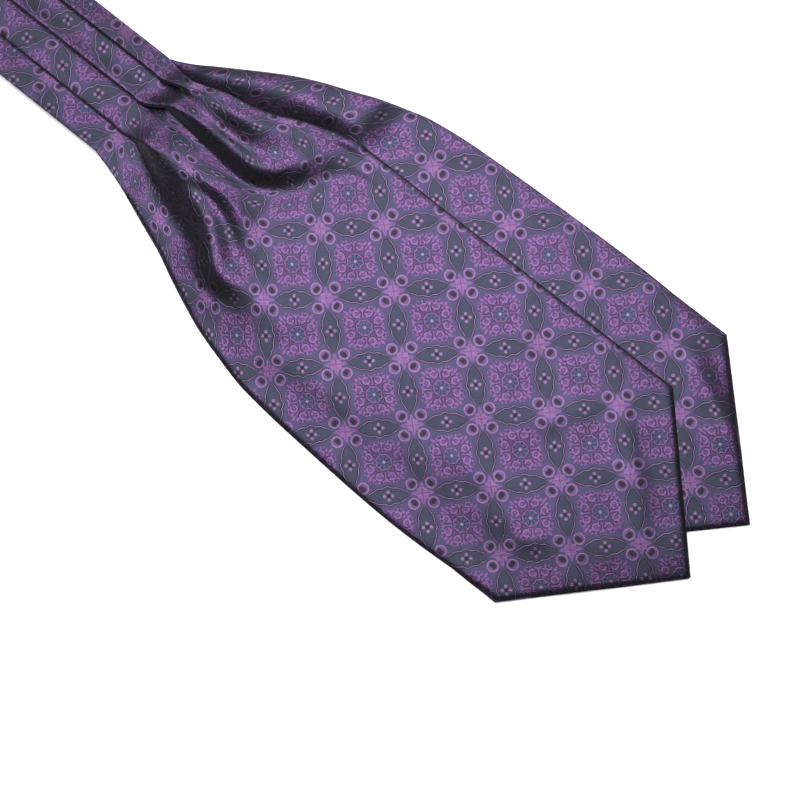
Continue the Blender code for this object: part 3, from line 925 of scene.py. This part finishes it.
def figureGroup():
    # Masks of the woven figure. One repeat has a star on each corner, a pointed oval on each side
    # and a medallion in the middle; all are mirrored out of one eighth of the square.
    group = bpy.data.node_groups.new("wovenFigure", 'ShaderNodeTree')
    group.interface.new_socket("Cloth", in_out='INPUT', socket_type='NodeSocketVector')
    places = group.nodes.new("NodeGroupInput").outputs["Cloth"]
    fine = weave["fineBlur"]

    # The threads waver a little, so no line of the figure is quite straight
    waver = weave["waver"]
    shake = noiseOver(places, *weave["waverNoise"], output="Color")
    moved = newNode(group, "VectorMath", {0: shake, 1: (waver,) * 3, 2: places},
                    operation='MULTIPLY_ADD')
    split = newNode(group, "SeparateXYZ", {0: moved.outputs["Vector"]})
    u, v = (Wire(split.outputs[i]) - waver / 2 for i in (0, 1))
    su, sv = (abs(a - maths('ROUND', a)) for a in (u, v))
    x = su | sv
    y = maths('MINIMUM', su, sv)

    # Star on the corner: petals along the sides and the diagonals, with dark veins
    fromStar = away(x, y)
    diagonal, offDiagonal = (x + y) * math.sqrt(0.5), (x - y) * math.sqrt(0.5)
    star = petal(x, y, *weave["axisPetal"]) | petal(diagonal, offDiagonal, *weave["cornerPetal"])
    straight, slanting, blur, slope = weave["veins"]
    veins = ((y.within(straight, fine) | away(y, x * slope).within(slanting, blur))
             * fromStar.band(*weave["veinRing"]))

    # Four buds round the star: a pale rim, a soft body and a dark heart
    place, outer, rim = weave["bud"]
    fromBud = away(x, y, place, place)
    place, size, lobes, blur = weave["budHeart"]
    budHeart = (away(x, y, place, place) - (abs(offDiagonal) * lobes + size)).within(0.0, blur)
    budRim = fromBud.band(outer - rim, rim)
    bud = fromBud.within(outer - rim) * shown["budBody"] | budRim

    # Pointed oval along the side, with a waved edge and four dots
    reach, high, line = weave["oval"]
    waves, waveHeight = weave["ovalWave"]
    lobeReach, lobeHeight = weave["ovalLobe"]
    ox = 0.5 - x
    share = (1.0 - (ox / reach) ** 2.0 | 0.0) ** weave["ovalEnds"]
    wave = maths('COSINE', ox * waves) * waveHeight
    lobe = maths('EXPONENT', (ox / lobeReach) ** 2.0 * -1.0) * lobeHeight
    fromEdge = y - share * (wave + high + lobe)
    onOval = ox.within(reach)
    ovalLine, innerLine, outerLine = (fromEdge.band(at, line, fine) for at in weave["ovalLines"])
    ovalLine = ovalLine * onOval
    ovalDark = (innerLine | outerLine) * onOval
    oval, ovalKeep = (fromEdge.within(weave[name]) * onOval for name in ("ovalCloth", "ovalClear"))
    dot, size, blur = weave["flower"]
    flower = maths('MINIMUM', away(ox, y, dot, 0.0), away(ox, y, 0.0, dot)).within(size, blur) * onOval
    flowerHeart = away(ox, y).within(*weave["flowerHeart"]) * onOval

    # Medallion in the middle: a rosette in a ring
    m, n = 0.5 - x, 0.5 - y
    fromHeart = away(m, n)
    around = maths('ARCTAN2', m, n)
    offRay = maths('MINIMUM', around, math.pi / 4 - around)
    radius, thin = weave["rosetteRing"]
    inRing = fromHeart.within(radius)
    fromSpoke = fromHeart * maths('SINE', math.pi / 8 - offRay)
    spoke = fromSpoke.within(weave["spoke"], fine)
    heart = fromHeart.within(*weave["rosetteHeart"])
    count, depth, inset = weave["scallop"]
    scallop = maths('COSINE', offRay * count) * depth + fromHeart
    rays = inRing.without(spoke) * scallop.within(radius - inset)
    outside, half = weave["ringShade"]
    ringShade = fromHeart.band(radius + outside, half)

    # Eight curls, each hooked to the ring, with leaves and fleurons outside them
    (cm, cn), curlRadius, curlLine = weave["curl"]
    fromCurl = away(m, n, cm, cn)
    dm, dn, size = weave["curlOpening"]
    curl = fromCurl.band(curlRadius, curlLine).without(away(m, n, cm + dm, cn + dn).within(size))
    dm, dn, size, blur = weave["curlEye"]
    curlEye = away(m, n, cm + dm, cn + dn).within(size, blur)
    outside, half = weave["curlShade"]
    curlShade = fromCurl.band(curlRadius + outside, half)
    width, middle, half = weave["stem"]
    medallion = (curl | curlEye * shown["curlEye"] | leaf(m, n, *weave["hook"])
                 | m.within(width, fine) * n.band(middle, half) | scallop.band(radius, thin))
    tip = weave["sprig"] * math.sqrt(0.5)
    fleuron = tuple(((tip + dm, tip + dn), half, turn) for (dm, dn), half, turn in weave["fleuron"])
    for shape in weave["leaves"] + fleuron:
        medallion = medallion | leaf(m, n, *shape) * shown["leaves"]
    medallion = medallion.without(ovalKeep | fromBud.within(outer + weave["budClear"]))

    # Fine scrolling between the motifs
    warm = (m | n).within(*weave["warm"]).without(ovalKeep)
    scale, detail, half, blur = weave["tendrils"]
    tendrils = noiseOver(places, scale, detail).band(0.5, half, blur) * warm * shown["tendrils"]
    tendrils = tendrils.without(fromHeart.within(radius + weave["tendrilsClear"]))

    # Threads run one way over the whole cloth, coarser in the ovals
    down, over = shown["ovalThreads"]
    ovalThread = ribs(v, weave["ovalRibs"]) * down + ribs(u, weave["ovalRibs"]) * over
    down, over = shown["threads"]
    plain = ribs(v, weave["groundRibs"]) * down + ribs(u + v, weave["slantRibs"]) * over
    threads = ovalThread * oval + plain.without(oval)
    count, contrast, level = weave["wefts"]
    wefts = ribs(v, count) * contrast + level
    scale, detail, contrast, level = weave["specks"]
    specks = noiseOver(places, scale, detail) * contrast + level

    figure = (star.without(veins) * shown["star"] | bud.without(budHeart) | flower | medallion
              | tendrils)
    figure = figure.without(ovalLine) * wefts * specks | specks.without(oval) * shown["specks"]
    pale = (ovalLine * shown["ovalLine"] | budRim * shown["budRim"] | heart * shown["heart"]
            | flower * shown["flower"] | star * fromStar.within(weave["starPale"]) * shown["starPale"])
    outline = (budHeart | ovalDark | flowerHeart | (spoke * inRing).without(heart)
               | ringShade * shown["ringShade"] | curlShade * shown["curlShade"]
               | veins * star * shown["veins"])
    results = {
        "Figure": figure,
        "Pale": pale,
        "Core": fromStar.within(*weave["starEye"]) | veins * star * shown["coreVeins"],
        "Outline": outline,
        "Oval": oval,
        "Petal": rays.without(heart),
        "Warm": warm,
        "Threads": threads,
        "Relief": threads * shown["threadRelief"]
        + ((figure | pale) - outline * shown["outlineRelief"]),
    }
    for name in results:
        group.interface.new_socket(name, in_out='OUTPUT', socket_type='NodeSocketFloat')
    setSockets(group.nodes.new("NodeGroupOutput"), results)
    return group


def makeSilk(group):
    material, shader = newMaterial("figuredSilk", silk["finish"])
    tree = material.node_tree
    places = newNode(tree, "UVMap", uv_map="cloth").outputs["UV"]
    drawn = newNode(tree, "Group", {"Cloth": places}, node_tree=group)
    colour = (*silk["ground"], 1.0)
    for mask, shade in (("Warm", "groundWarm"), ("Oval", "oval"), ("Outline", "outline"),
                        ("Petal", "petal"), ("Figure", "figure"), ("Pale", "pale"), ("Core", "core")):
        sockets = {"Factor": drawn.outputs[mask], "A": colour, "B": (*silk[shade], 1.0)}
        colour = newNode(tree, "Mix", sockets, data_type='RGBA').outputs["Result"]

    # Slubs and a slow change of tone along the cloth, and painted shade along the front blade's right
    # edge and the right side of its point
    share, rest = silk["slubTone"]
    tone = (Wire(drawn.outputs["Threads"]) * silk["threadTone"]
            + (noiseOver(places, *silk["slub"]) * share + rest))
    # The turned mask is painted shade, darkening the cloth by the front blade's right edge
    turned = Wire(newNode(tree, "Attribute", attribute_name="turned").outputs["Fac"])
    tone = tone * (turned * silk["edgeShadeTone"] + 1.0)
    bright = newNode(tree, "VectorMath", {0: colour, "Scale": tone}, operation='SCALE')
    ground, figureAdds, ovalAdds = silk["roughness"]
    rough = (Wire(drawn.outputs["Oval"]) * ovalAdds
             + (Wire(drawn.outputs["Figure"]) * figureAdds + ground))
    bump = newNode(tree, "Bump", {**silk["bump"], "Height": drawn.outputs["Relief"]})
    setSockets(shader, {"Base Color": bright.outputs["Vector"], "Roughness": rough,
                        "Normal": bump.outputs["Normal"]})
    return material


silkCloth = makeSilk(figureGroup())
print("silk made")

# Blades


def makeFrontBlade():
    rows = dressed(calmed(frontRows()))
    places = clothPlaces(rows, False)
    bm = clothGrid(rows, places, figure["frontNode"])
    rowOf = bm.verts.layers.int["row"]
    columnOf = bm.verts.layers.int["column"]
    # A mask of painted shade along the right edge and the right side of the point
    turned = bm.verts.layers.float.new("turned")
    for vert in bm.verts:
        along, across, _ = rows[vert[rowOf]][vert[columnOf]]
        inside = edgesAt(frontBlade, along)[1] - across
        if across > 0:
            inside = edgeDistance(frontBlade, along, across)
        dark = begun(along, frontBlade["dark"])
        vert[turned] = dark * (1 - ease(inside / cloth["edgeShadeWidth"]))
    blade = finished("frontBladeCloth", bm, silkCloth)
    thicken(blade)
    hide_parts("front_blade")
    return blade, places[0]


def makeRearBlade():
    tops, bottoms = rearSurfaces()
    places = clothPlaces(tops, True)
    bm = clothGrid(tops, places, figure["rearNode"])
    rowOf = bm.verts.layers.int["row"]
    columnOf = bm.verts.layers.int["column"]
    lower = bmesh.ops.extrude_face_region(bm, geom=bm.faces[:], use_keep_orig=True)
    for vert in lower["geom"]:
        if isinstance(vert, bmesh.types.BMVert):
            vert.co = placed(bottoms[vert[rowOf]][vert[columnOf]])
    bmesh.ops.recalc_face_normals(bm, faces=bm.faces[:])
    blade = finished("rearBladeCloth", bm, silkCloth)
    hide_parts("rear_blade")
    return blade


frontBladeCloth, frontRoot = makeFrontBlade()
print("front blade made")
rearBladeCloth = makeRearBlade()
print("rear blade made")

# Neckband

foldAlong = max(pleatedTop(edge) for edge in stripEdges) + neckband["bendCore"] - cloth["foldReach"]


def roundFold(points, angle, axis):
    # A section part of the way round the fold at the centre back
    core = neckband["bendCore"]
    return [(foldAlong - (depth + core) * math.sin(angle), across,
             axis + (depth + core) * math.cos(angle)) for across, depth in points]


def makeBandTop(root):
    first = -cloth["gap"] / 2
    count = round((first - foldAlong) / neckband["rowStep"])
    alongs = [mix(first, foldAlong, i / count) for i in range(count + 1)]
    alongs[1:1] = neckband["firstRows"]
    rows = []
    for along in alongs:
        loose = ease(-along / neckband["looseOver"]) * ease((along - foldAlong) / neckband["looseOver"])
        rows.append([(along, y, topRun + z + loose * max(-neckband["sag"], ripple("neckband", along, y)))
                     for y, z in section])
    steps = neckband["foldSteps"]
    rows += [roundFold(section, math.pi / 2 * k / steps, topRun - neckband["bendCore"])
             for k in range(1, steps + 1)]
    places = []
    back = [0.0] * len(root)
    for row, previous in zip(rows, rows[:1] + rows):
        back = [b + math.dist(p, q) for b, p, q in zip(back, row, previous)]
        places.append([(a - b, y) for (a, y), b in zip(root, back)])
    band = finished("neckbandFrontCloth", clothGrid(rows, places, figure["frontNode"]), silkCloth)
    thicken(band)
    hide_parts("neckband_front_half")
    return band


def hiddenSection(flattened):
    # Across and depth, from the inner side out; the pleats' steps flatten out underneath
    def depthAt(across):
        return mix(pleatedTop(across), neckband["hiddenStack"], flattened)

    layers = neckband["layers"]
    groove = neckband["groove"]

    def edge(side):
        points = []
        for k in range(layers):
            for share in neckband["grooveShares"]:
                inset = groove * (1 - math.sin(math.pi * share)) ** neckband["grooveShape"]
                depth = depthAt(side * halfWidth) * (k + share) / layers
                points.append((side * (halfWidth - inset), depth))
        return points

    outer = []
    steps = neckband["underSteps"]
    for left, right in zip(stripEdges, stripEdges[1:] + [halfWidth]):
        for i in range(steps + 1):
            y = mix(left + cloth["gap"], right - cloth["gap"], i / steps)
            y = min(max(y, groove - halfWidth), halfWidth - groove)
            outer.append((y, depthAt(y)))
    return edge(1) + outer[::-1] + edge(-1)[::-1]


def makeBandUnder():
    steps = neckband["foldSteps"]
    axis = neckband["hiddenStack"] + neckband["bendCore"]
    rings = [roundFold(hiddenSection(ease(k / steps)), math.pi / 2 * (1 + k / steps), axis)
             for k in range(steps + 1)]
    last = rings[-1]
    count = round((-cloth["gap"] / 2 - foldAlong) / (2 * neckband["rowStep"]))
    for i in range(1, count + 1):
        along = mix(foldAlong, -cloth["gap"] / 2, i / count)
        rings.append([(along, y, z) for _, y, z in last])
    closed = [ring + ring[:1] for ring in rings]
    places = []
    travelled = -cloth["foldReach"]
    for ring, previous in zip(closed, closed[:1] + closed):
        travelled += max(map(math.dist, ring, previous))
        places.append([(travelled, t) for t in runs(ring)])
    bm = clothGrid(closed, places, figure["rearNode"])
    bmesh.ops.remove_doubles(bm, verts=bm.verts[:], dist=0.000001)
    bmesh.ops.recalc_face_normals(bm, faces=bm.faces[:])
    band = finished("neckbandRearCloth", bm, silkCloth)
    shell = band.modifiers.new("shell", 'SOLIDIFY')
    shell.thickness = cloth["shell"] * 0.001
    shell.offset = -1.0
    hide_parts("neckband_rear_half")
    return band


neckbandFrontCloth = makeBandTop(frontRoot)
neckbandRearCloth = makeBandUnder()
print("neckband made")

# Stitches across the neckband

stitches = {
    "along": -1.6,
    "spacing": 2.9,
    "length": 1.7,
    "thickness": 0.3,
    "sink": 0.04,
    "clear": 3.0,  # width without stitches, at both edges together
    "colour": (0.05, 0.036, 0.078),
    "paintedTwist": (0.6, 1.6),  # painted shade and highlight on the twist, as shares of the thread's colour
    "twists": 900.0,
    "roughness": 0.5,
}


def makeThread():
    material, shader = newMaterial("sewingThread", {"Roughness": stitches["roughness"]})
    tree = material.node_tree
    places = newNode(tree, "TexCoord").outputs["Object"]
    # Painted shade and highlight: diagonal bands of darker and lighter copies of the thread's colour
    # stand in for light on the twist
    twist = newNode(tree, "TexWave", {"Scale": stitches["twists"], "Vector": places},
                    bands_direction='DIAGONAL')
    dark, pale = ((*[c * shade for c in stitches["colour"]], 1.0) for shade in stitches["paintedTwist"])
    paintedTwist = newNode(tree, "Mix", {"A": dark, "B": pale, "Factor": twist.outputs["Fac"]},
                     data_type='RGBA')
    setSockets(shader, {"Base Color": paintedTwist.outputs["Result"]})
    return material


def makeStitches():
    bm = bmesh.new()
    count = int((neckband["width"] - stitches["clear"]) / stitches["spacing"])
    half = stitches["length"] / 2
    radius = stitches["thickness"] / 2 * 0.001
    for i in range(count + 1):
        across = (i - count / 2) * stitches["spacing"]
        ends = [placed((stitches["along"], y, topRun + pleatedTop(y) + stitches["sink"]))
                for y in (across - half, across + half)]
        towards = ends[1] - ends[0]
        turn = Vector((0, 0, 1)).rotation_difference(towards).to_matrix().to_4x4()
        made = bmesh.ops.create_uvsphere(bm, u_segments=8, v_segments=6, radius=radius)
        shape = (Matrix.Translation((ends[0] + ends[1]) / 2) @ turn
                 @ Matrix.Diagonal((1.0, 1.0, towards.length / (2 * radius), 1.0)))
        bmesh.ops.transform(bm, matrix=shape, verts=made["verts"])
    return finished("neckbandStitches", bm, makeThread(), 80)


neckbandStitches = makeStitches()
print("stitches made")
